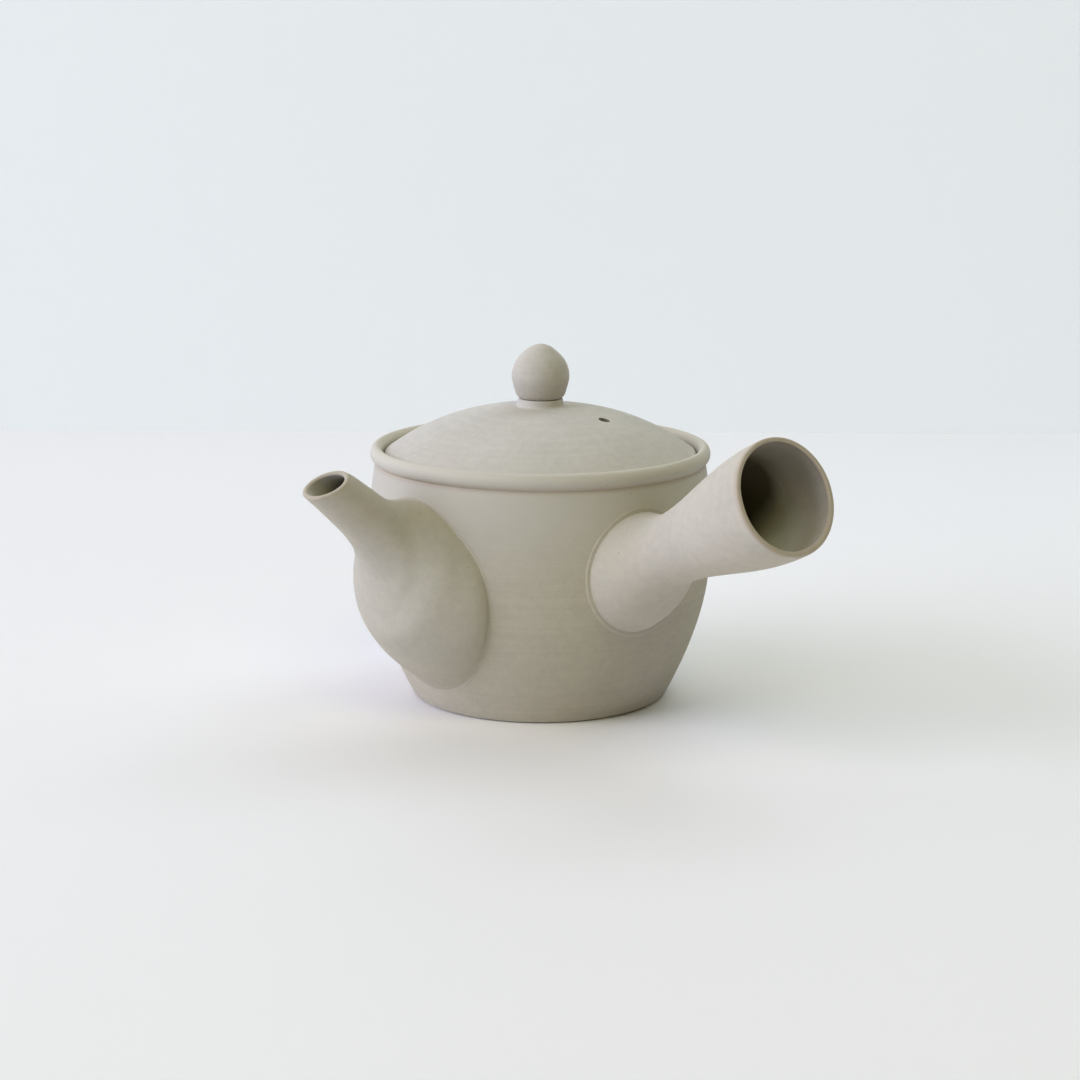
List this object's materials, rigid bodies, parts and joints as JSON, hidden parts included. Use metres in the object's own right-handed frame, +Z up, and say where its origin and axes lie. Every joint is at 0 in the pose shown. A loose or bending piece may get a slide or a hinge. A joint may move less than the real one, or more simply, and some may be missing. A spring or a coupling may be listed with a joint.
{
  "type": "side-handle teapot",
  "caption": "Side-handled teapot with bulbed spout, hollow flared handle, inner strainer and lift-off domed lid with vent and knob.",
  "frame": {"origin": "centre of the flat base, on the pot's axis", "axes": "+Z up along the pot's axis, +X along the handle's plan direction; the spout points 8.5 degrees off -Y"},
  "size_m": [0.1616, 0.1314, 0.1005],
  "materials": {
    "body_clay": "unglazed, matt, fine turning lines",
    "spout_clay": "unglazed, matt",
    "handle_clay": "unglazed, matt",
    "strainer_clay": "unglazed, matt, pierced",
    "lid_clay": "unglazed, matt, fine turning lines",
    "knob_clay": "unglazed, matt"
  },
  "bodies": {
    "pot": {"body": "body_clay", "spout": "spout_clay", "handle": "handle_clay", "strainer": "strainer_clay"},
    "lid": {"lid": "lid_clay", "lid_knob": "knob_clay"}
  },
  "joints": [
    {"name": "lid_lift", "type": "slide", "parent": "pot", "child": "lid", "axis": [0, 0, 1], "range_m": [0, 0.06]}
  ]
}
